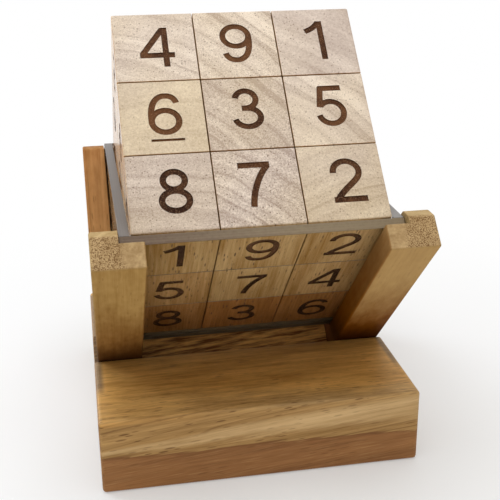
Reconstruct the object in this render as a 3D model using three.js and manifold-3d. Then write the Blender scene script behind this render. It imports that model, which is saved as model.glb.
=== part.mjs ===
// A sudoku cube: loose wooden cubes packed three by three by three in a clear acrylic holder, which
// stands on its edge in a cradle of four rabbeted arms glued into a grooved wooden base.
// Millimetres, +Z up, the front towards -Y, the origin at the middle of the base's underside.
import * as THREE from "three";
import { RoundedBoxGeometry } from "three/addons/geometries/RoundedBoxGeometry.js";
import { mergeVertices } from "three/addons/utils/BufferGeometryUtils.js";
import Module from "manifold-3d";

// The loose cubes
const CUBE_EDGE = 24.7;
const CUBE_ROUNDING = 0.5;
const CUBE_PLAY = 0.3; // between neighbouring cubes

// The acrylic holder
const SHEET = 3; // thickness of its four plates
const HOLDER_PLAY = 0.3; // between the block of cubes and the plates
const WELD_LINE = 0.3; // between two plates that meet

// The arms of the cradle
const ARM_WIDTH = 15; // from side to side
const ARM_DEPTH = 13.5; // square to the plate that the arm carries
const ARM_WALL = 7.85; // wood left outside the rabbet
const ARM_ROUNDING = 1; // of the long edges
const ARM_TRIM = 3.5; // leg of the level facet on the upper end
const FRONT_ARM_RISE = 2.95; // how far a front arm stands past the holder's rim
const SEAT_PLAY = 0.3; // between the rabbet and the acrylic
const GLUE_LINE = 0.3; // between two arms at their mitre, and between an arm and its groove

// The base
const BASE_LEDGE = 1.2; // how far the base stands past the arms on each side
const BASE_DEPTH = 101;
const BASE_HEIGHT = 24.5;
const BASE_ROUNDING = 2;
const GROOVE_DEPTH = 10.3; // from the top of the base down to the bottom of the V

// Distances from the middle of the block of cubes, along the block's own axes
const COLUMNS = ["left", "centre", "right"];
const ROWS = ["front", "mid", "back"];
const LAYERS = ["bottom", "middle", "top"];
const pitch = CUBE_EDGE + CUBE_PLAY;
const rim = (COLUMNS.length * pitch - CUBE_PLAY) / 2; // the plates end level with the block's faces
const plateInside = rim + HOLDER_PLAY;
const plateOutside = plateInside + SHEET;
const rabbet = plateOutside + SEAT_PLAY;
const armOutside = rabbet + ARM_WALL;
const armInside = armOutside - ARM_WIDTH; // the arm's side that faces the other arm
const armBack = armOutside - ARM_DEPTH;
const grooveWall = armOutside + GLUE_LINE;

// The block stands on its edge: its own +Z leans forwards and its own +Y leans back.
const TILT = Math.PI / 4;
const grooveBottom = BASE_HEIGHT - GROOVE_DEPTH;
const blockHeight = grooveBottom + grooveWall * Math.SQRT2; // from the table to the block's middle

const wood = (color, roughness) => new THREE.MeshStandardMaterial({ color, roughness });
const baseWood = wood(0xa06a36, 0.55);
const frontArmWood = wood(0xb98d4e, 0.6);
const backArmWood = wood(0xb0723f, 0.6);
const cubeWood = wood(0xc9ae90, 0.7);
const acrylic = new THREE.MeshStandardMaterial({
  color: 0xe6ecec,
  roughness: 0.05,
  transparent: true,
  opacity: 0.3,
});

const wasm = await Module();
wasm.setup();

// A closed three.js geometry as a solid that can be cut.
function solidOf(geometry) {
  const bare = geometry.clone();
  bare.deleteAttribute("normal");
  bare.deleteAttribute("uv");
  const merged = mergeVertices(bare.index ? bare.toNonIndexed() : bare, 1e-4);
  return new wasm.Manifold(
    new wasm.Mesh({
      numProp: 3,
      vertProperties: merged.getAttribute("position").array,
      triVerts: new Uint32Array(merged.index.array),
    }),
  );
}

function geometryOf(solid) {
  const { vertProperties, triVerts } = solid.getMesh();
  const geometry = new THREE.BufferGeometry();
  geometry.setAttribute("position", new THREE.BufferAttribute(vertProperties, 3));
  geometry.setIndex(new THREE.BufferAttribute(triVerts, 1));
  geometry.computeVertexNormals();
  return geometry;
}

function addMesh(group, name, geometry, material) {
  const mesh = new THREE.Mesh(geometry, material);
  mesh.name = name;
  group.add(mesh);
  return mesh;
}

// An outline along X, laid across the base or the block.
function extrudeAlongX(points, from, to) {
  const outline = new THREE.Shape(points.map(([y, z]) => new THREE.Vector2(y, z)));
  const solid = new THREE.ExtrudeGeometry(outline, { depth: to - from, bevelEnabled: false });
  // The outline is drawn in X and Y and extruded along Z: turn Z to X, X to Y and Y to Z.
  const turn = new THREE.Matrix4().makeBasis(
    new THREE.Vector3(0, 1, 0),
    new THREE.Vector3(0, 0, 1),
    new THREE.Vector3(1, 0, 0),
  );
  return solid.applyMatrix4(turn).translate(from, 0, 0);
}

// The base is a board with softened edges. Its V-groove runs right across, and the square corners of
// the arms stand in it.
function baseGeometry() {
  const width = 2 * (armOutside + BASE_LEDGE);
  const board = new RoundedBoxGeometry(width, BASE_DEPTH, BASE_HEIGHT, 2, BASE_ROUNDING);
  board.translate(0, 0, BASE_HEIGHT / 2);
  const groove = extrudeAlongX(
    [
      [0, grooveBottom],
      [2 * GROOVE_DEPTH, grooveBottom + 2 * GROOVE_DEPTH],
      [-2 * GROOVE_DEPTH, grooveBottom + 2 * GROOVE_DEPTH],
    ],
    -width,
    width,
  );
  return geometryOf(solidOf(board).subtract(solidOf(groove)));
}

// The section of an arm on the right (side 1) or left (side -1): a square stick with rounded corners,
// rabbeted where a corner of the holder seats in it.
function armSection(side) {
  const r = ARM_ROUNDING;
  const [out, back] = [armOutside, armBack];
  const section = new THREE.Shape();
  section.moveTo(side * armInside, -rabbet);
  section.lineTo(side * armInside, -out + r);
  section.quadraticCurveTo(side * armInside, -out, side * (armInside + r), -out);
  section.lineTo(side * (out - r), -out);
  section.quadraticCurveTo(side * out, -out, side * out, -out + r);
  section.lineTo(side * out, -back - r);
  section.quadraticCurveTo(side * out, -back, side * (out - r), -back);
  section.lineTo(side * rabbet, -back);
  section.lineTo(side * rabbet, -rabbet);
  return section;
}

// An arm runs up the block's own Z to its end. Its foot is mitred to the arm behind it, and the upper
// end is trimmed to a facet that lies level when the block stands on its edge.
function armGeometry(side, end) {
  const stick = new THREE.ExtrudeGeometry(armSection(side), {
    depth: end + armOutside,
    bevelEnabled: false,
    curveSegments: 2,
  }).translate(0, 0, -armOutside);
  const facetLevel = (end - ARM_TRIM - armBack) / Math.SQRT2;
  const trimmed = solidOf(stick)
    .trimByPlane([0, -1, 1], GLUE_LINE / 2)
    .trimByPlane([0, -1, -1], -facetLevel);
  return geometryOf(trimmed);
}

// A triangular side plate between the front and the back plate, its long edge level.
function sidePlateGeometry(side) {
  const corner = -plateInside + WELD_LINE;
  const outline = [
    [corner, corner],
    [rim, corner],
    [corner, rim],
  ];
  const [from, to] = side > 0 ? [plateInside, plateOutside] : [-plateOutside, -plateInside];
  return extrudeAlongX(outline, from, to);
}

// The stand: the base and its four arms. The back pair is a front pair turned round.
function makeStand() {
  const stand = new THREE.Group();
  addMesh(stand, "base", baseGeometry(), baseWood);
  const pairs = [
    { name: "front", turn: 0, end: rim + FRONT_ARM_RISE, material: frontArmWood },
    { name: "back", turn: Math.PI, end: rim, material: backArmWood },
  ];
  for (const { name, turn, end, material } of pairs) {
    const turned = new THREE.Group();
    turned.rotation.z = turn;
    turned.position.z = blockHeight;
    const leaning = new THREE.Group();
    leaning.rotation.x = TILT;
    const [plus, minus] = turn ? ["left", "right"] : ["right", "left"];
    addMesh(leaning, `${name}_${plus}_arm`, armGeometry(1, end), material);
    addMesh(leaning, `${name}_${minus}_arm`, armGeometry(-1, end), material);
    turned.add(leaning);
    stand.add(turned);
  }
  return stand;
}

// The holder: a V of two square plates, closed at the ends by two triangles.
function makeHolder() {
  const holder = new THREE.Group();
  const height = rim + plateOutside;
  const frontPlate = new THREE.BoxGeometry(2 * plateOutside, SHEET, height);
  frontPlate.translate(0, -plateOutside + SHEET / 2, rim - height / 2);
  const depth = rim + plateInside - WELD_LINE;
  const backPlate = new THREE.BoxGeometry(2 * plateOutside, depth, SHEET);
  backPlate.translate(0, rim - depth / 2, -plateOutside + SHEET / 2);
  addMesh(holder, "holder_front_plate", frontPlate, acrylic);
  addMesh(holder, "holder_back_plate", backPlate, acrylic);
  addMesh(holder, "holder_left_plate", sidePlateGeometry(-1), acrylic);
  addMesh(holder, "holder_right_plate", sidePlateGeometry(1), acrylic);
  return holder;
}

// The loose cubes, each named by its layer, row and column in the block.
function makeCubes() {
  const block = new THREE.Group();
  const middle = (COLUMNS.length - 1) / 2;
  LAYERS.forEach((layer, up) =>
    ROWS.forEach((row, deep) =>
      COLUMNS.forEach((column, across) => {
        const cube = new RoundedBoxGeometry(CUBE_EDGE, CUBE_EDGE, CUBE_EDGE, 1, CUBE_ROUNDING);
        const mesh = addMesh(block, `cube_${layer}_${row}_${column}`, cube, cubeWood);
        mesh.position.set(across - middle, deep - middle, up - middle).multiplyScalar(pitch);
      }),
    ),
  );
  return block;
}

const sudokuCube = new THREE.Group();
sudokuCube.name = "sudoku_cube";
const onEdge = new THREE.Group();
onEdge.rotation.x = TILT;
onEdge.position.z = blockHeight;
onEdge.add(makeHolder(), makeCubes());
sudokuCube.add(makeStand(), onEdge);

export default sudokuCube;
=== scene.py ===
import math
import random

import bmesh
import bpy
from mathutils import Matrix, Vector


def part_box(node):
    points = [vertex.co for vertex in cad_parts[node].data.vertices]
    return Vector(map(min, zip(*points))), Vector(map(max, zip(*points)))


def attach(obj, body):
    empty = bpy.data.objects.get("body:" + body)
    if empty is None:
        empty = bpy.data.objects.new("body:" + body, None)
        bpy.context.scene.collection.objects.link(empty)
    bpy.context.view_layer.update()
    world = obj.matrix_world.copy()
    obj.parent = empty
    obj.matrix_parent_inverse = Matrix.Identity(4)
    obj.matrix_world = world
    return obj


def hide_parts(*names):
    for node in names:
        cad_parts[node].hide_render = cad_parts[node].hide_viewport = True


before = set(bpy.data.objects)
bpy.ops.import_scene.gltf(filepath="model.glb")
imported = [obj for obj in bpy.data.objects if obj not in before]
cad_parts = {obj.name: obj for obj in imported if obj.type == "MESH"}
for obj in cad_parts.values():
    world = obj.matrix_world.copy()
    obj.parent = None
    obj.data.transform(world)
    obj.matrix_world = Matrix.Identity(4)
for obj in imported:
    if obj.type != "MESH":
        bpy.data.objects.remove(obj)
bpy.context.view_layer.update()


# The base is one thick square board of brown hardwood, with a strip of pale sapwood along its front.
# A V-groove is planed right across the top for the arms, and the outer edges are sanded round.
MM = 0.001
base_low, base_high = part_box("base")
base_round = 1.2 * MM
groove_depth = 10.3 * MM
groove_round = 0.35 * MM


class Socket:
    """One output of a node tree. Sums and products on it add Math nodes, and node() adds any other."""

    def __init__(self, tree, output=None):
        self.tree = tree
        self.output = output

    def node(self, kind, settings=None, sockets=None, out=0):
        made = self.tree.nodes.new("ShaderNode" + kind)
        for name, value in (settings or {}).items():
            setattr(made, name, value)
        for key, value in (sockets or {}).items():
            if isinstance(value, Socket):
                self.tree.links.new(value.output, made.inputs[key])
            else:
                made.inputs[key].default_value = value
        return Socket(self.tree, made.outputs[out])

    def into(self, socket):
        self.tree.links.new(self.output, socket)

    def attribute(self, name, out="Fac"):
        return self.node("Attribute", {"attribute_name": name}, out=out)

    def parts(self):
        """The three parts of a vector."""
        split = self.node("SeparateXYZ", sockets={"Vector": self}).output.node
        return [Socket(self.tree, part) for part in split.outputs]

    def math(self, operation, first, second=0.0):
        return self.node("Math", {"operation": operation}, {0: first, 1: second})

    def __add__(self, other):
        return self.math("ADD", self, other)

    def __radd__(self, other):
        return self.math("ADD", other, self)

    def __sub__(self, other):
        return self.math("SUBTRACT", self, other)

    def __rsub__(self, other):
        return self.math("SUBTRACT", other, self)

    def __mul__(self, other):
        return self.math("MULTIPLY", self, other)

    def __rmul__(self, other):
        return self.math("MULTIPLY", other, self)

    def __abs__(self):
        return self.math("ABSOLUTE", self)

    def at_least(self, other):
        return self.math("MAXIMUM", self, other)

    def clamped(self):
        return self.node("Clamp", sockets={"Value": self})

    def ramp(self, low, high):
        """Rises smoothly from 0 at low to 1 at high."""
        limits = {"Value": self, "From Min": low, "From Max": high}
        return self.node("MapRange", {"interpolation_type": "SMOOTHSTEP"}, limits)

    def mix(self, start, end, blend="MIX"):
        """The colour that lies this share of the way from start to end, or to start multiplied by end."""
        settings = {"data_type": "RGBA", "blend_type": blend}
        return self.node("Mix", settings, {0: self, 6: start, 7: end}, out=2)


def new_finish(name):
    finish = bpy.data.materials.new(name)
    finish.use_nodes = True
    return finish, finish.node_tree.nodes["Principled BSDF"], Socket(finish.node_tree)


def place_in_mm(start):
    """Where each point lies in the assembled object: across, deep and high, in millimetres."""
    place = start.node("TexCoord", out="Object")
    return start.node("VectorMath", {"operation": "SCALE"}, {0: place, "Scale": 1 / MM}).parts()


def stretched(start, position, across, along, detail=2.0, rough=0.5):
    """Noise from 0 to 1, in blots as wide as across and as long down the grain as along, in millimetres."""
    scale = (1 / across, 1 / across, 1 / along)
    place = start.node("VectorMath", {"operation": "MULTIPLY"}, {0: position, 1: scale})
    sockets = {"Vector": place, "Scale": 1.0, "Detail": detail, "Roughness": rough}
    return start.node("TexNoise", sockets=sockets)


def pores(start, position, spacing, length, widest):
    """The open vessels of the wood: dark dots where the grain is cut across, short dashes along it."""
    scale = (1 / spacing, 1 / spacing, 1 / length)
    place = start.node("VectorMath", {"operation": "MULTIPLY"}, {0: position, 1: scale})
    sockets = {"Vector": place, "Scale": 1.0}
    distance = start.node("TexVoronoi", {"feature": "F1"}, sockets, out="Distance")
    chance = start.node("TexVoronoi", {"feature": "F1"}, sockets, out="Color")
    radius = start.node("SeparateColor", sockets={"Color": chance}) * widest
    return 1.0 - distance.ramp(radius * 0.6, radius + 0.05)


def rings(start, position, spacing, waver):
    """Growth rings round the pith, which runs down the middle of the timber's own axes."""
    drift = stretched(start, position, 14.0, 60.0, detail=1.0) * waver
    flat = start.node("VectorMath", {"operation": "MULTIPLY"}, {0: position, 1: (1.0, 1.0, 0.0)})
    radius = start.node("VectorMath", {"operation": "LENGTH"}, {0: flat}, out="Value")
    turns = (radius + drift) * (1 / spacing)
    noise = {"W": turns, "Scale": 1.0, "Detail": 2.5, "Roughness": 0.62}
    return start.node("TexNoise", {"noise_dimensions": "1D"}, noise)


def emboss(shader, height, strength, depth):
    """Raises the surface by a height from 0 to 1, without changing its shape."""
    bump = height.node("Bump", sockets={"Strength": strength, "Distance": depth, "Height": height})
    bump.into(shader.inputs["Normal"])


def lay_grain(shape, along, pith, **shares):
    """Gives each point its place in the timber, in millimetres, with the grain along the third axis.
    Each face gets the share to which it cuts across the grain, and the shares named for this timber."""
    grain = Vector(along).normalized()
    turn = Vector((0, 0, 1)).rotation_difference(grain).inverted().to_matrix()
    place = shape.verts.layers.float_vector.new("timber")
    cross_cut = shape.faces.layers.float.new("cross_cut")
    named = {shape.faces.layers.float.new(name): share for name, share in shares.items()}
    shape.normal_update()
    for vertex in shape.verts:
        vertex[place] = turn @ vertex.co / MM + Vector(pith)
    for face in shape.faces:
        face[cross_cut] = abs(face.normal.dot(grain))
        for layer, share in named.items():
            face[layer] = share


def make_piece(name, shape, finishes, body, node, place=None):
    """Puts a finished shape in its place as one object that stands for a CAD node and rides on its body."""
    if place is not None:
        bmesh.ops.transform(shape, matrix=place, verts=shape.verts)
    mesh = bpy.data.meshes.new(name)
    shape.to_mesh(mesh)
    shape.free()
    for finish in finishes:
        mesh.materials.append(finish)
    made = bpy.data.objects.new(name, mesh)
    bpy.context.scene.collection.objects.link(made)
    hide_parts(node)
    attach(made, body)


def sharp_edges(shape, angle):
    """The edges that stand out and turn by more than an angle, in radians."""
    return [e for e in shape.edges if e.is_convex and e.calc_face_angle(0.0) > angle]


def soften(shape, edges, radius, segments=3):
    bmesh.ops.bevel(
        shape, geom=edges, offset=radius, offset_type="OFFSET", affect="EDGES",
        segments=segments, profile=0.5, material=-1, clamp_overlap=True,
    )


def extrude(shape, face, vector):
    grown = bmesh.ops.extrude_face_region(shape, geom=[face])["geom"]
    ends = [part for part in grown if isinstance(part, bmesh.types.BMVert)]
    bmesh.ops.translate(shape, vec=vector, verts=ends)
    bmesh.ops.recalc_face_normals(shape, faces=shape.faces)


def base_finish():
    finish, shader, start = new_finish("oiled_brown_board")
    timber = start.attribute("timber", "Vector")
    ring = rings(start, timber, 4.0, 6.0)
    broad = stretched(start, timber, 5.0, 60.0, detail=3.0, rough=0.55)
    streak = stretched(start, timber, 1.3, 32.0, detail=4.0, rough=0.62)
    fibre = stretched(start, timber, 0.3, 9.0, detail=3.0)
    shade = stretched(start, timber, 20.0, 70.0, detail=1.0)
    along, deep, high = place_in_mm(start)
    # Red heartwood lies along the foot of the front. Over it, a wedge of pale sapwood widens to the right.
    level = high + deep * 0.30 + 15.15 + (streak - 0.5) * 3.5 + (shade - 0.5) * 3.0
    edge = level + along * 0.017
    red = 1.0 - edge.ramp(11.2, 11.9)
    seam = red * edge.ramp(10.6, 11.4)
    wedge_middle = along * 0.048 + 16.9
    wedge_reach = along * 0.040 + 3.0
    wedge = 1.0 - abs(level - wedge_middle).ramp(wedge_reach * 0.35, wedge_reach * 1.25)
    wedge = wedge * (1.0 - red)
    tone = (ring * 0.7 + broad * 1.3 + streak * 1.5 + shade * 0.4 - 1.37).clamped()
    brown = tone.mix((0.42, 0.202, 0.036, 1), (0.86, 0.515, 0.165, 1))
    front = 1.0 - (level + (shade - 0.5) * 6.0).ramp(23.0, 29.0)
    front = front.at_least(deep.ramp(49.0, 50.2))
    zone = stretched(start, timber, 7.0, 30.0).ramp(0.42, 0.62) * 0.6 + front * 0.5
    dashes = pores(start, timber, 0.85, 5.5, 0.36) * zone.clamped() * (1.0 - red * 0.6)
    lines = rings(start, timber, 0.9, 5.0).ramp(0.54, 0.72) * front
    lines = lines * (1.0 - wedge) * (1.0 - red * 0.7)
    brown = front.mix(brown, tone.mix((0.25, 0.145, 0.048, 1), (0.57, 0.390, 0.180, 1)))
    colour = red.mix(brown, tone.mix((0.22, 0.102, 0.040, 1), (0.40, 0.208, 0.088, 1)))
    colour = (wedge * 0.9).mix(colour, tone.mix((0.48, 0.335, 0.165, 1), (0.77, 0.615, 0.385, 1)))
    # The plane has torn the grain in the groove.
    groove = (1.0 - abs(deep).ramp(9.6, 10.4)) * (1.0 - high.ramp(23.6, 24.6))
    torn = stretched(start, timber, 1.1, 15.0, detail=4.0, rough=0.62)
    torn = (torn * 4.2 + broad * 1.0 - 2.15).clamped()
    colour = groove.mix(colour, torn.mix((0.17, 0.058, 0.006, 1), (0.88, 0.50, 0.155, 1)))
    # Painted shade darkens the narrow ledges beside the arms.
    ledge = abs(along).ramp(46.8, 48.4) * deep.ramp(-36.0, -26.0) * (1.0 - deep.ramp(46.5, 48.5))
    colour = (ledge * high.ramp(13.8, 14.2) * 0.75).mix(colour, (0.16, 0.115, 0.075, 1))
    colour = (fibre.ramp(0.5, 0.75) * 0.2).mix(colour, (0.75, 0.52, 0.26, 1))
    colour = ((1.0 - fibre.ramp(0.32, 0.48)) * 0.25).mix(colour, (0.20, 0.085, 0.018, 1))
    colour = (seam * 0.45).mix(colour, (0.13, 0.05, 0.018, 1))
    colour = (lines * 0.45).mix(colour, (0.15, 0.07, 0.022, 1))
    colour = (dashes * (0.75 - wedge * 0.45)).mix(colour, (0.11, 0.045, 0.012, 1))
    # The ends of the board show end grain, which soaks up more oil.
    fleck = stretched(start, timber, 0.45, 3.0, detail=2.0, rough=0.6)
    end_tone = (rings(start, timber, 3.0, 9.0) * 1.3 + fleck * 1.5 + wedge * 0.3 - 0.95).clamped()
    end_cut = end_tone.mix((0.17, 0.078, 0.022, 1), (0.47, 0.27, 0.10, 1))
    colour = start.attribute("cross_cut").ramp(0.5, 0.95).mix(colour, end_cut)
    colour.into(shader.inputs["Base Color"])
    (0.42 + fibre * 0.16).into(shader.inputs["Roughness"])
    shader.inputs["Specular IOR Level"].default_value = 0.3
    emboss(shader, fibre * 0.5 - dashes, 0.35, 0.08 * MM)
    return finish


def base_shape():
    shape = bmesh.new()
    half = groove_depth
    outline = [
        (base_low.y, base_low.z), (base_high.y, base_low.z), (base_high.y, base_high.z),
        (half, base_high.z), (0.0, base_high.z - groove_depth), (-half, base_high.z),
        (base_low.y, base_high.z),
    ]
    end = shape.faces.new([shape.verts.new((base_low.x, y, z)) for y, z in outline])
    extrude(shape, end, (base_high.x - base_low.x, 0.0, 0.0))

    def in_groove(edge):
        return all(abs(v.co.y) < half + MM and v.co.z > base_low.z + MM for v in edge.verts)

    soften(shape, [e for e in shape.edges if not in_groove(e)], base_round, segments=4)
    soften(shape, [e for e in sharp_edges(shape, 0.5) if in_groove(e)], groove_round, segments=2)
    return shape


board = base_shape()
lay_grain(board, along=(1, 0.02, 0.10), pith=(18.0, 55.0, 0.0))
make_piece("base_board", board, [base_finish()], "stand", "base")


# Four arms of tan hardwood make the cradle: square sticks, rabbeted on the inner corner to take a corner of
# the holder, mitred together in the groove and glued there. Each upper end is trimmed to a level facet.
block_low, block_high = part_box("cube_middle_mid_centre")
block_middle = (block_low + block_high) / 2
on_edge = Matrix.Translation(block_middle) @ Matrix.Rotation(math.radians(45), 4, "X")
turned_round = Matrix.Rotation(math.radians(180), 4, "Z") @ on_edge
arm_inside, arm_outside = (corner.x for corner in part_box("front_right_arm"))
arm_depth = 13.5 * MM
arm_wall = 7.85 * MM
arm_trim = 3.5 * MM
arm_round = 0.6 * MM
rabbet_round = 0.12 * MM
mitre_gap = 0.06 * MM
front_end = -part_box("front_right_arm")[0].y * math.sqrt(2) - arm_outside
back_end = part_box("back_right_arm")[1].y * math.sqrt(2) - arm_outside


def arm_finish(name, dark, light, end_dark, end_light):
    finish, shader, start = new_finish(name)
    timber = start.attribute("timber", "Vector")
    cross_cut = start.attribute("cross_cut")
    ring = rings(start, timber, 3.0, 6.0)
    streak = stretched(start, timber, 0.8, 30.0, detail=4.0, rough=0.65)
    fibre = stretched(start, timber, 0.3, 8.0, detail=3.0)
    patch = stretched(start, timber, 2.2, 5.0, detail=3.0)
    shade = stretched(start, timber, 12.0, 50.0, detail=1.0)
    fleck = stretched(start, timber, 0.34, 2.2, detail=1.5, rough=0.6)
    pore = pores(start, timber, 0.75, 5.0, 0.34) * shade.ramp(0.40, 0.60)
    tone = (ring * 0.7 + streak * 0.9 + patch * 0.8 + shade * 0.8 - 1.10).clamped()
    end = cross_cut.ramp(0.45, 1.0)
    colour = end.mix(tone.mix(dark, light), tone.mix(end_dark, end_light))
    colour = (fibre.ramp(0.5, 0.75) * 0.2).mix(colour, light)
    # The end grain is open and speckled away from the side that faces the other arm.
    across = start.attribute("section", "Vector").parts()[0]
    open_grain = (across + (shade - 0.5) * 8.0).ramp(3.5, 6.5) * cross_cut.ramp(0.80, 0.97)
    speck = fleck.ramp(0.49, 0.57) * open_grain
    colour = (speck * 0.8).mix(colour, (0.15, 0.075, 0.028, 1))
    colour = (pore * 0.35).mix(colour, (0.10, 0.045, 0.012, 1))
    # Light has bleached the long faces. Painted shade darkens the lower arms and all of their inward sides,
    # where the block and the base shade them, over some real stain from oil and glue.
    colour = (start.attribute("bleach") * (1.0 - end)).mix(colour, (0.62, 0.49, 0.30, 1))
    tint = start.attribute("tint")
    inward = 1.0 - across.ramp(0.10, 0.55)
    height = place_in_mm(start)[2]
    patchy = height + (shade - 0.5) * 20.0 + (patch - 0.5) * 10.0
    # Painted shade, with some stain, darkens each arm towards its foot, and higher up on its inward side.
    painted_shade_and_stain = (1.0 - patchy.ramp(30.0, 64.0 + inward * 66.0)) * tint
    colour = painted_shade_and_stain.mix(colour, (0.46, 0.215, 0.010, 1), "MULTIPLY")
    # A painted contact shadow makes the foot itself almost black.
    foot = 1.0 - (height + (patch - 0.5) * 6.0).ramp(24.0, 40.0)
    colour = (foot * (0.60 + tint * 0.3)).mix(colour, (0.040, 0.009, 0.001, 1))
    colour.into(shader.inputs["Base Color"])
    (0.45 + fibre * 0.18).into(shader.inputs["Roughness"])
    shader.inputs["Specular IOR Level"].default_value = 0.03
    emboss(shader, fibre * 0.5 - pore - speck * 0.5, 0.4, 0.08 * MM)
    return finish


def everything(shape):
    return shape.verts[:] + shape.edges[:] + shape.faces[:]


def trim(shape, point, normal):
    """Cuts away what lies beyond a plane and closes the cut."""
    bmesh.ops.bisect_plane(shape, geom=everything(shape), plane_co=point, plane_no=normal, clear_outer=True)
    bmesh.ops.holes_fill(shape, edges=[e for e in shape.edges if e.is_boundary])
    bmesh.ops.recalc_face_normals(shape, faces=shape.faces)


def arm_shape(side, end):
    """An arm along the block's own third axis, on its right (side 1) or left (side -1)."""
    shape = bmesh.new()
    rabbet = arm_outside - arm_wall
    back = arm_outside - arm_depth
    near = 0.01 * MM
    section = [
        (arm_inside, -rabbet), (arm_inside, -arm_outside), (arm_outside, -arm_outside),
        (arm_outside, -back), (rabbet, -back), (rabbet, -rabbet),
    ]
    foot = shape.faces.new([shape.verts.new((side * x, y, -arm_outside)) for x, y in section])
    extrude(shape, foot, (0.0, 0.0, end + arm_outside))
    trim(shape, (0.0, 0.0, mitre_gap), (0.0, 1.0, -1.0))
    trim(shape, (0.0, -back, end - arm_trim), (0.0, 1.0, 1.0))

    def on_mitre(edge):
        return all(abs(v.co.z - v.co.y - mitre_gap) < near for v in edge.verts)

    def on_rabbet(edge):
        return all(min(abs(v.co.x * side - rabbet), abs(v.co.y + rabbet)) < near for v in edge.verts)

    outer = [e for e in sharp_edges(shape, 0.3) if not on_mitre(e) and not on_rabbet(e)]
    soften(shape, outer, arm_round)
    seats = [e for e in sharp_edges(shape, 0.7) if on_rabbet(e) and not on_mitre(e)]
    soften(shape, seats, rabbet_round, segments=2)
    return shape


front_wood = arm_finish(
    "tan_stick",
    dark=(0.265, 0.172, 0.055, 1),
    light=(0.49, 0.370, 0.178, 1),
    end_dark=(0.31, 0.20, 0.093, 1),
    end_light=(0.67, 0.505, 0.288, 1),
)
back_wood = arm_finish(
    "red_brown_stick",
    dark=(0.30, 0.132, 0.042, 1),
    light=(0.58, 0.320, 0.130, 1),
    end_dark=(0.20, 0.09, 0.03, 1),
    end_light=(0.42, 0.22, 0.08, 1),
)
# The last two numbers of each arm: how strongly painted shade, with some stain, darkens it, and how
# bleached it is.
arms = [
    ("front_left", -1, front_end, front_wood, "front_arm_wood", on_edge, (14.0, 60.0, 0.0), 0.62, 0.05),
    ("front_right", 1, front_end, front_wood, "front_arm_wood", on_edge, (-30.0, 72.0, 200.0), 1.0, 0.38),
    ("back_left", 1, back_end, back_wood, "back_arm_wood", turned_round, (22.0, 64.0, 400.0), 0.9, 0.0),
    ("back_right", -1, back_end, back_wood, "back_arm_wood", turned_round, (-12.0, 75.0, 700.0), 0.9, 0.0),
]
for name, side, end, finish, slot, place, pith, tint, bleach in arms:
    stick = arm_shape(side, end)
    lay_grain(stick, (0, 0, 1), pith, tint=tint, bleach=bleach)
    section = stick.verts.layers.float_vector.new("section")
    for vertex in stick.verts:
        inset = Vector((vertex.co.x * side - arm_inside, vertex.co.y + arm_outside, 0.0))
        vertex[section] = inset / MM
    make_piece(name + "_stick", stick, [finish], "stand", name + "_arm", place)


# The holder is a V of two square plates of clear acrylic, closed at the ends by two triangles whose long
# edges lie level. The plates are cut from sheet and welded, and the holder rests loose in the rabbets.
plate_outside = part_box("holder_front_plate")[1].x
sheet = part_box("holder_right_plate")[1].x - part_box("holder_right_plate")[0].x
plate_inside = plate_outside - sheet
cube_edge = block_high.x - block_low.x
pitch = block_middle.x - (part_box("cube_middle_mid_left")[0].x + cube_edge / 2)
rim = pitch + cube_edge / 2
weld = 0.03 * MM
weld_width = 1.2 * MM
plate_round = 0.12 * MM


def acrylic_finish():
    finish, shader, start = new_finish("clear_acrylic")
    tint = (0.98, 0.98, 0.97, 1)
    bending = 1.49
    place = start.node("TexCoord", out="Object")
    haze = start.node("TexNoise", sockets={"Vector": place, "Scale": 60.0, "Detail": 3.0})
    (0.015 + haze * 0.03).into(shader.inputs["Roughness"])
    shader.inputs["Base Color"].default_value = tint
    shader.inputs["Transmission Weight"].default_value = 1.0
    shader.inputs["IOR"].default_value = bending
    # Rubbed and dusty, the sheet mirrors less than clean acrylic: most of it only bends the light.
    bent = start.node("BsdfRefraction", sockets={"Color": tint, "IOR": bending, "Roughness": 0.03})
    mirror = Socket(start.tree, shader.outputs[0])
    dulled = start.node("MixShader", sockets={0: 0.85, 1: mirror, 2: bent})
    dulled.into(finish.node_tree.nodes["Material Output"].inputs["Surface"])
    return finish


def sawn_finish(name, dark, light):
    """The cut edges of the sheet, which the saw leaves half clear."""
    finish, shader, start = new_finish(name)
    place = start.node("TexCoord", out="Object")
    grit = {"Vector": place, "Scale": 900.0, "Detail": 3.0, "Roughness": 0.6}
    marks = start.node("TexNoise", sockets=grit)
    through = start.attribute("through")
    lines = start.node("TexNoise", {"noise_dimensions": "1D"}, {"W": through, "Scale": 1.6, "Detail": 2.0})
    # Painted light and shade make the rims lighter towards the right and darker towards the left, and the
    # weld at the foot of the V is brown with glue.
    along, _, height = place_in_mm(start)
    lit_share = along.ramp(-45.0, 22.0)
    tone = (lit_share * 0.9 + marks * 0.6 + lines * 0.8 - 0.65).clamped()
    colour = height.ramp(40.0, 60.0).mix((0.19, 0.14, 0.075, 1), tone.mix(dark, light))
    colour.into(shader.inputs["Base Color"])
    (0.26 + marks * 0.18).into(shader.inputs["Roughness"])
    shader.inputs["Specular IOR Level"].default_value = 0.35
    emboss(shader, marks, 0.15, 0.03 * MM)
    return finish


def plate_shape(outline, vector):
    """A flat outline in the block's own axes, as thick as the sheet. Its edges take the second finish."""
    shape = bmesh.new()
    face = shape.faces.new([shape.verts.new(point) for point in outline])
    extrude(shape, face, vector)
    through = Vector(vector).normalized()
    soften(shape, shape.edges[:], plate_round, segments=2)
    shape.normal_update()
    for side in shape.faces:
        side.material_index = 0 if abs(side.normal.dot(through)) > 0.99 else 1
    place = shape.verts.layers.float.new("through")
    for vertex in shape.verts:
        vertex[place] = vertex.co.dot(through) / MM
    return shape


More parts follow.
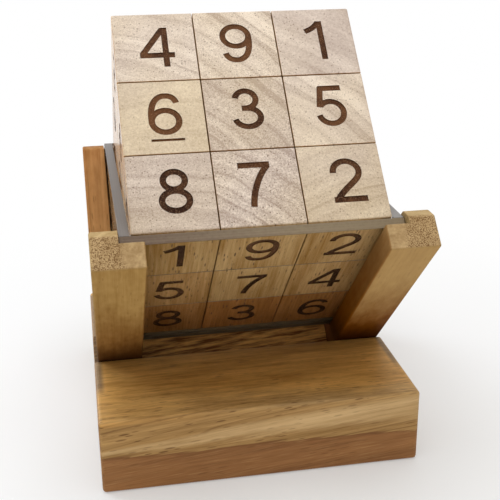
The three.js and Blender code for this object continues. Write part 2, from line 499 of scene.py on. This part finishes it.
clear = acrylic_finish()
# The brown of the front and back rims is painted: it stands for the wood seen through the clear edges.
warm_edge = sawn_finish("sawn_acrylic_edge", (0.090, 0.045, 0.015, 1), (0.220, 0.172, 0.105, 1))
cool_edge = sawn_finish("sawn_acrylic_side", (0.125, 0.112, 0.106, 1), (0.215, 0.208, 0.205, 1))
inner, outer = plate_inside, plate_outside
corner = weld - inner
front_outline = [
    (-outer, -outer, -outer), (outer, -outer, -outer), (outer, -outer, rim), (-outer, -outer, rim),
]
back_outline = [
    (-outer, corner, -outer), (outer, corner, -outer), (outer, rim, -outer), (-outer, rim, -outer),
]
left_outline = [(-outer, corner, corner), (-outer, rim, corner), (-outer, corner, rim)]
right_outline = [(inner, corner, corner), (inner, rim, corner), (inner, corner, rim)]
plates = {
    "front": (front_outline, (0.0, sheet, 0.0), warm_edge),
    "back": (back_outline, (0.0, 0.0, sheet), warm_edge),
    "left": (left_outline, (sheet, 0.0, 0.0), cool_edge),
    "right": (right_outline, (sheet, 0.0, 0.0), cool_edge),
}
for name, (outline, vector, edge) in plates.items():
    plate = plate_shape(outline, vector)
    if name == "back":
        # A strip beside the weld is clouded by the glue.
        seam = corner + weld_width
        strip = {"plane_co": (0.0, seam, 0.0), "plane_no": (0.0, 1.0, 0.0)}
        bmesh.ops.bisect_plane(plate, geom=everything(plate), **strip)
        for face in plate.faces:
            if face.calc_center_median().y < seam:
                face.material_index = 1
    finishes = [clear, edge]
    make_piece(f"clear_{name}_plate", plate, finishes, "holder", f"holder_{name}_plate", on_edge)


# The loose cubes are sawn from pale, fine-pored hardwood, sanded, and packed three by three by three. Each
# outer face carries one number, burned a little way into the wood, and a 6 may have a line under it.
corner_round = 0.5 * MM
seam_round = 0.16 * MM
size_play = 0.05 * MM
number_height = 14.4 * MM
number_play = 0.5  # in millimetres, as the nudges below
pen = 0.130  # in heights of a number
burn_depth = 0.28 * MM
burn_step = 0.012 * MM
cutter_rise = 0.5 * MM
random.seed(27)


def cube_finish():
    finish, shader, start = new_finish("pale_cube_wood")
    timber = start.attribute("timber", "Vector")
    cross_cut = start.attribute("cross_cut")
    figure = start.attribute("figure")
    cream = start.attribute("cream")
    dark = start.attribute("dark")
    band = rings(start, timber, 6.5, 3.5)
    growth = rings(start, timber, 2.4, 5.0).ramp(0.50, 0.80) * 0.4
    streak = stretched(start, timber, 0.8, 20.0, detail=4.0, rough=0.65)
    mottle = stretched(start, timber, 0.38, 3.0, detail=2.0, rough=0.6)
    shade = stretched(start, timber, 13.0, 40.0, detail=2.0)
    hue = stretched(start, timber, 24.0, 60.0, detail=1.0)
    coarse = pores(start, timber, 0.95, 5.0, 0.30) * shade.ramp(0.20, 0.50)
    fine = pores(start, timber, 0.55, 5.0, 0.34) * shade.ramp(0.35, 0.65) * 0.6
    pore = coarse.at_least(fine) * (0.55 + figure * 0.4) * (1.1 - cream * cross_cut * 0.6)
    drawn = (band - 0.5) * 1.5 + (mottle - 0.5) * 2.0 - growth
    tone = (0.5 - dark + drawn * figure + (streak - 0.5) * 0.9 + (shade - 0.5) * 0.7).clamped()
    grain = (0.45 - dark + (band - 0.5) * 0.9 + (streak - 0.5) * 1.7 + (shade - 0.5) * 1.4).clamped()
    pink = tone.mix((0.39, 0.305, 0.262, 1), (0.795, 0.715, 0.655, 1))
    warm = tone.mix((0.44, 0.338, 0.215, 1), (0.835, 0.732, 0.555, 1))
    end_cut = (cream + (hue - 0.5) * 1.2).clamped().mix(pink, warm)
    golden = grain.mix((0.385, 0.198, 0.046, 1), (0.755, 0.505, 0.236, 1))
    # The redder sides, set by tint, are partly painted warm shade where the bottom layer sits.
    reddish = grain.mix((0.30, 0.115, 0.023, 1), (0.62, 0.285, 0.085, 1))
    side_cut = start.attribute("tint").mix(golden, reddish)
    colour = cross_cut.ramp(0.3, 0.9).mix(side_cut, end_cut)
    colour = (pore * 0.85).mix(colour, (0.13, 0.075, 0.042, 1))
    # Painted shade darkens the seams between the cubes, just below the outside of the block.
    parts = start.attribute("block", "Vector").parts()
    sideways, forwards, upright = (abs(part) for part in parts)
    edge = rim / MM
    below = edge - sideways.at_least(forwards).at_least(upright)
    covered = cross_cut.ramp(0.3, 0.7) * (edge - upright).ramp(0.6, 0.9)
    seam_shade = below.ramp(0.15, 0.4).at_least(covered) * (1.0 - below.ramp(0.8, 2.4))
    colour = (seam_shade * 0.6).mix(colour, (0.10, 0.055, 0.028, 1))
    # The top and the back are rubbed with wax, and the flanks most of all.
    flank = sideways.ramp(edge - 0.12, edge - 0.06)
    front = parts[1].ramp(0.12 - edge, 0.06 - edge)
    wax = (1.0 - below.ramp(0.06, 0.12)) * (1.0 - front) * 0.4
    wax.at_least(flank).into(shader.inputs["Coat Weight"])
    shader.inputs["Coat Roughness"].default_value = 0.18
    colour.into(shader.inputs["Base Color"])
    (0.58 + mottle * 0.2).into(shader.inputs["Roughness"])
    shader.inputs["Specular IOR Level"].default_value = 0.2
    emboss(shader, mottle * 0.4 - pore, 0.35, 0.06 * MM)
    return finish


def burn_finish():
    finish, shader, start = new_finish("burned_number")
    timber = start.attribute("timber", "Vector")
    streak = stretched(start, timber, 0.5, 6.0, detail=4.0, rough=0.7)
    patch = stretched(start, timber, 4.0, 9.0, detail=2.0)
    fleck = stretched(start, timber, 0.36, 0.6, detail=1.0).ramp(0.54, 0.68) * 0.45
    tone = (streak * 1.4 + patch * 1.6 + start.attribute("scorch") * 0.8 - 1.35).clamped()
    colour = tone.mix((0.026, 0.008, 0.003, 1), (0.142, 0.060, 0.024, 1))
    fleck.mix(colour, (0.28, 0.16, 0.088, 1)).into(shader.inputs["Base Color"])
    (0.75 + streak * 0.2).into(shader.inputs["Roughness"])
    shader.inputs["Specular IOR Level"].default_value = 0.2
    emboss(shader, streak, 0.5, 0.08 * MM)
    return finish


pale_wood = cube_finish()
burned = burn_finish()


def arc(x, y, wide, high, start, end, steps=22):
    """Points on an ellipse about (x, y), from one angle to another, in degrees."""
    turns = [math.radians(start + (end - start) * k / steps) for k in range(steps + 1)]
    return [Vector((x + wide * math.cos(t), y + high * math.sin(t))) for t in turns]


def curve(a, b, c, d, steps=16):
    """Points on the smooth curve from a to d that b and c pull."""
    a, b, c, d = (Vector(p) for p in (a, b, c, d))

    def at(t):
        return a * (1 - t) ** 3 + b * 3 * t * (1 - t) ** 2 + c * 3 * t * t * (1 - t) + d * t ** 3

    return [at(k / steps) for k in range(steps + 1)]


def line(a, b):
    return [Vector(a), Vector(b)]


# The pen strokes of each number, in a box one unit high. A 9 is a 6 turned round.
widths = {1: 0.44, 2: 0.69, 3: 0.66, 4: 0.73, 5: 0.66, 6: 0.69, 7: 0.65, 8: 0.68, 9: 0.69}
six = [
    arc(0.345, 0.325, 0.2775, 0.2575, 180, -180, 36),
    curve((0.068, 0.33), (0.045, 0.74), (0.185, 0.9325), (0.37, 0.9325))
    + curve((0.37, 0.9325), (0.50, 0.9325), (0.575, 0.87), (0.60, 0.755), 8)[1:],
]
strokes = {
    1: [
        line((0.372, 0.0), (0.372, 1.0)),
        curve((0.03, 0.735), (0.17, 0.785), (0.28, 0.86), (0.352, 0.975), 8),
    ],
    2: [
        arc(0.335, 0.69, 0.2675, 0.2425, 184, -20)
        + curve((0.586, 0.607), (0.53, 0.46), (0.22, 0.29), (0.095, 0.085))[1:],
        line((0.0, 0.0625), (0.69, 0.0625)),
    ],
    3: [
        arc(0.32, 0.725, 0.215, 0.2075, 170, -80),
        arc(0.325, 0.29, 0.2675, 0.2225, 88, -170),
        line((0.22, 0.5125), (0.38, 0.5125)),
    ],
    4: [
        line((0.545, 0.0), (0.545, 1.0)),
        line((0.052, 0.32), (0.51, 0.963)),
        line((0.0, 0.295), (0.73, 0.295)),
    ],
    5: [
        line((0.125, 0.9375), (0.61, 0.9375)),
        line((0.175, 0.975), (0.098, 0.475)),
        arc(0.325, 0.3375, 0.2675, 0.27, 142, -168),
    ],
    6: six,
    7: [
        line((0.0, 0.9375), (0.65, 0.9375)),
        curve((0.605, 0.92), (0.42, 0.72), (0.25, 0.36), (0.225, 0.0)),
    ],
    8: [
        arc(0.34, 0.735, 0.2175, 0.1975, 180, -180, 36),
        arc(0.34, 0.285, 0.2725, 0.2175, 180, -180, 36),
    ],
    9: [[Vector((widths[6] - p.x, 1.0 - p.y)) for p in stroke] for stroke in six],
}
underline = line((0.02, -0.115), (0.70, -0.115))
underline_pen = 0.055


def burn_stroke(shape, points, width, depth, place):
    """Adds one pen stroke as a closed strip that reaches from outside the face down into the wood."""
    closed = (points[0] - points[-1]).length < 1e-6
    path = points[:-1] if closed else points
    count = len(path)
    sides = []
    for k, point in enumerate(path):
        before = path[k - 1] if k or closed else point
        after = path[(k + 1) % count] if k + 1 < count or closed else point
        way = (after - before).normalized()
        across = Vector((-way.y, way.x)) * width / 2
        sides.append([point + across, point - across])
    top = cutter_rise / number_height
    rails = [[shape.verts.new((p.x, p.y, top)) for p in pair] for pair in sides]
    pairs = zip(rails, rails[1:] + rails[:1] if closed else rails[1:])
    strip = [shape.faces.new((a[1], b[1], b[0], a[0])) for a, b in pairs]
    grown = bmesh.ops.extrude_face_region(shape, geom=strip)["geom"]
    floor = [part for part in grown if isinstance(part, bmesh.types.BMVert)]
    bmesh.ops.translate(shape, vec=(0.0, 0.0, -top - depth / number_height), verts=floor)
    bmesh.ops.transform(shape, matrix=place, verts=[v for pair in rails for v in pair] + floor)


# The numbers on the block, face by face, each row from left to right as that face is read. The nudges say
# how far each mark on the top sits from the middle of its cube, to the right and upwards, in millimetres.
faces = {
    "top": ((0, 0, 1), (0, 1, 0), [[4, 9, 1], [6, 3, 5], [8, 7, 2]]),
    "front": ((0, -1, 0), (0, 0, 1), [[1, 9, 2], [5, 7, 4], [8, 3, 6]]),
    "back": ((0, 1, 0), (0, 0, 1), [[6, 2, 7], [1, 5, 9], [8, 4, 3]]),
    "left": ((-1, 0, 0), (0, 0, 1), [[3, 8, 5], [9, 2, 6], [4, 7, 1]]),
    "right": ((1, 0, 0), (0, 0, 1), [[7, 1, 4], [2, 9, 8], [5, 6, 3]]),
    "bottom": ((0, 0, -1), (0, 1, 0), [[2, 5, 8], [7, 4, 1], [9, 3, 6]]),
}
nudges = [
    [(0.6, -0.2), (0.0, 0.3), (-0.2, 0.3)],
    [(0.7, 1.0), (0.2, 1.5), (0.6, 1.1)],
    [(1.1, 0.4), (-0.6, 1.0), (1.4, 0.6)],
]


def numbers_on(cell, size):
    """The cutter for every number that the cube in this cell carries, about the cube's own middle."""
    cutter = bmesh.new()
    for face, (normal, up, rows) in faces.items():
        normal, up = Vector(normal), Vector(up)
        right = up.cross(normal)
        if cell.dot(normal) != 1:
            continue
        row, column = 1 - round(cell.dot(up)), 1 + round(cell.dot(right))
        number = rows[row][column]
        if face == "top":
            shift = nudges[row][column]
        else:
            shift = [random.uniform(-number_play, number_play) for _ in range(2)]
        turn = Matrix((right, up, normal)).transposed().to_4x4()
        seat = Matrix.Translation(normal * size / 2 + (right * shift[0] + up * shift[1]) * MM)
        middle = Matrix.Translation((-widths[number] / 2, -0.5, 0.0))
        place = seat @ turn @ Matrix.Scale(number_height, 4) @ middle
        for k, points in enumerate(strokes[number]):
            burn_stroke(cutter, points, pen, burn_depth + k * burn_step, place)
        if number == 6 and face != "front":
            burn_stroke(cutter, underline, underline_pen, burn_depth, place)
    bmesh.ops.recalc_face_normals(cutter, faces=cutter.faces)
    for part in cutter.faces:
        part.material_index = 1
    return cutter


def plain_object(name, shape):
    mesh = bpy.data.meshes.new(name)
    shape.to_mesh(mesh)
    shape.free()
    made = bpy.data.objects.new(name, mesh)
    bpy.context.scene.collection.objects.link(made)
    return made


def cube_shape(cell):
    """A cube with softened edges and its numbers cut in. No two are quite the same size."""
    size = cube_edge - random.uniform(0.0, size_play)
    shape = bmesh.new()
    bmesh.ops.create_cube(shape, size=size)
    shape.normal_update()
    corners = [e for e in shape.edges if all(f.normal.dot(cell) > 0.9 for f in e.link_faces)]
    soften(shape, corners, corner_round)
    seams = [e for e in shape.edges if e.calc_face_angle(0.0) > 1.0]
    soften(shape, seams, seam_round, segments=2)
    cutter = numbers_on(cell, size)
    if not cutter.faces:
        cutter.free()
        return shape
    body = plain_object("cube_blank", shape)
    tool = plain_object("cube_tool", cutter)
    for made in (body, tool):
        for finish in (pale_wood, burned):
            made.data.materials.append(finish)
    cut = body.modifiers.new("numbers", "BOOLEAN")
    cut.operation = "DIFFERENCE"
    cut.solver = "EXACT"
    cut.object = tool
    cut.use_self = True
    carved = body.evaluated_get(bpy.context.evaluated_depsgraph_get())
    result = bmesh.new()
    result.from_mesh(bpy.data.meshes.new_from_object(carved))
    for made in (body, tool):
        bpy.data.objects.remove(made)
    return result


# The wood of the cubes on the top and the front, cube by cube: the way its rings face in radians, how far
# off their middle lies in millimetres, and how figured, creamy, dark, lightly burned and red it is. The red
# of the bottom layer's sides is partly painted warm shade from under the block.
seen_wood = {
    "top_back_left": (1.25, 60, 0.75, 0.35, -0.09, 0.35, 0.1),
    "top_back_centre": (0.80, 75, 0.95, 0.45, -0.09, 0.75, 0.1),
    "top_back_right": (1.00, 90, 0.35, 0.15, 0.08, 0.15, 0.2),
    "top_mid_left": (1.60, 140, 0.40, 1.00, 0.02, 0.95, 0.1),
    "top_mid_centre": (0.75, 70, 0.90, 0.50, 0.21, 0.25, 0.2),
    "top_mid_right": (0.85, 80, 0.65, 0.50, -0.12, 0.60, 0.1),
    "top_front_left": (1.50, 120, 0.70, 0.25, 0.15, 0.00, 0.0),
    "top_front_centre": (0.90, 65, 1.15, 0.25, 0.01, 0.45, 0.05),
    "top_front_right": (1.85, 60, 0.55, 0.75, -0.02, 0.35, 0.1),
    "middle_front_left": (1.20, 80, 0.60, 0.50, 0.07, 0.40, 0.3),
    "middle_front_centre": (0.90, 70, 0.70, 0.70, -0.10, 0.05, 0.0),
    "middle_front_right": (0.70, 60, 0.80, 0.50, 0.0, -0.3, 0.15),
    "bottom_front_left": (1.10, 75, 0.80, 0.40, 0.05, 0.10, 0.75),
    "bottom_front_centre": (0.80, 65, 0.90, 0.40, -0.05, 0.10, 1.0),
    "bottom_front_right": (1.30, 85, 0.70, 0.40, 0.0, 0.0, 0.9),
}
for up, layer in enumerate(["bottom", "middle", "top"]):
    for deep, row in enumerate(["front", "mid", "back"]):
        for side, column in enumerate(["left", "centre", "right"]):
            cell = Vector((side - 1, deep - 1, up - 1))
            shape = cube_shape(cell)
            unseen = (
                random.uniform(0.5, 1.3),
                random.uniform(40, 90),
                random.uniform(0.6, 1.1),
                random.random(),
                random.uniform(-0.05, 0.1),
                random.random(),
                # The bottom layer gets redder sides, partly as painted warm shade under the block.
                random.uniform(0.6, 1.0) if layer == "bottom" else random.uniform(0.0, 0.35),
            )
            spot = f"{layer}_{row}_{column}"
            wood = seen_wood.get(spot, unseen)
            angle, far, figure, cream, dark, scorch, tint = wood
            pith = (far * math.cos(angle), far * math.sin(angle), random.uniform(0, 2000))
            grain = (1, 0, 0) if wood is unseen and random.random() < 0.25 else (0, 0, 1)
            lay_grain(shape, grain, pith, figure=figure, tint=tint, cream=cream, dark=dark, scorch=scorch)
            block = shape.verts.layers.float_vector.new("block")
            for vertex in shape.verts:
                vertex[block] = (vertex.co + cell * pitch) / MM
            place = on_edge @ Matrix.Translation(cell * pitch)
            name = "cube_" + spot
            make_piece("number_" + name, shape, [pale_wood, burned], name, name, place)


# The table is a plain pale sheet under the object. It keeps the object's shadow near the base, and it
# runs out to white all round.
table_radius = 3.0
table_drop = 0.02 * MM


def shown_directly(start):
    """1 where the eye, a mirror or a clear piece shows a surface, and 0 where it only sheds light."""
    seen = start.node("LightPath", out="Is Camera Ray")
    glossy = start.node("LightPath", out="Is Glossy Ray")
    through = start.node("LightPath", out="Is Transmission Ray")
    return (seen + glossy + through).clamped()


def table_finish():
    finish, shader, start = new_finish("pale_table")
    place = start.node("TexCoord", out="Object")
    away = start.node("VectorMath", {"operation": "LENGTH"}, {0: place}, out="Value")
    shown = shown_directly(start)
    colour = shown.mix((0.94, 0.78, 0.57, 1), (0.87, 0.91, 0.97, 1))
    colour.into(shader.inputs["Base Color"])
    speck = start.node("TexNoise", sockets={"Vector": place, "Scale": 40.0, "Detail": 2.0})
    (0.8 + speck * 0.1).into(shader.inputs["Roughness"])
    shader.inputs["Specular IOR Level"].default_value = 0.0
    white = start.node("Emission", sockets={"Color": (1, 1, 1, 1), "Strength": 1.0})
    share = (0.3 + away.ramp(60 * MM, 220 * MM) * 0.7) * shown
    plain = Socket(start.tree, shader.outputs[0])
    blend = start.node("MixShader", sockets={0: share, 1: plain, 2: white})
    blend.into(finish.node_tree.nodes["Material Output"].inputs["Surface"])
    return finish


table_shape = bmesh.new()
bmesh.ops.create_circle(table_shape, cap_ends=True, radius=table_radius, segments=64)
bmesh.ops.translate(table_shape, vec=(0.0, 0.0, -table_drop), verts=table_shape.verts)
table = plain_object("table", table_shape)
table.data.materials.append(table_finish())


# Soft studio light: a wide lamp overhead, a cool one from the left and behind, a weak one from the front,
# and an even room that looks white.
def lamp(name, place, aim, size, power, colour):
    data = bpy.data.lights.new(name, "AREA")
    data.shape = "DISK"
    data.size = size
    data.energy = power
    data.color = colour
    made = bpy.data.objects.new(name, data)
    made.location = place
    made.rotation_euler = (Vector(aim) - Vector(place)).to_track_quat("-Z", "Y").to_euler()
    bpy.context.scene.collection.objects.link(made)


at_block = (0.0, 0.0, 0.08)
at_stand = (0.0, 0.0, 0.06)
lamp("overhead", (-0.03, -0.02, 0.62), at_block, size=0.5, power=2.2, colour=(1.0, 0.985, 0.97))
lamp("left", (-0.75, 0.55, 0.40), at_block, size=0.5, power=4.0, colour=(0.88, 0.94, 1.0))
lamp("front", (0.40, -0.85, 0.30), at_stand, size=0.9, power=0.2, colour=(1.0, 0.90, 0.75))

room = bpy.data.worlds.new("room")
room.use_nodes = True
background = room.node_tree.nodes["Background"]
shown = shown_directly(Socket(room.node_tree))
shown.mix((1.0, 0.90, 0.75, 1), (1, 1, 1, 1)).into(background.inputs["Color"])
(0.48 + shown * 0.52).into(background.inputs["Strength"])
bpy.context.scene.world = room
bpy.context.scene.view_settings.view_transform = "Standard"


# The camera stands a little left of the object and above it, at the photograph's place. Its place and its
# long lens come from the corners of the cubes in the photograph.
camera_place = Vector((-0.0481, -0.2979, 0.1701))
camera_way = Vector((0.1649, 0.9217, -0.3511))
camera_roll = math.radians(-0.56)
image_pixels = 500
focal_pixels = 943.9

camera = bpy.data.cameras.new("camera")
camera.sensor_width = 36.0
camera.lens = focal_pixels / image_pixels * camera.sensor_width
camera.clip_start = 10 * MM
viewer = bpy.data.objects.new("camera", camera)
turn = camera_way.to_track_quat("-Z", "Y").to_matrix().to_4x4()
viewer.matrix_world = Matrix.Translation(camera_place) @ turn @ Matrix.Rotation(camera_roll, 4, "Z")
bpy.context.scene.collection.objects.link(viewer)
bpy.context.scene.camera = viewer
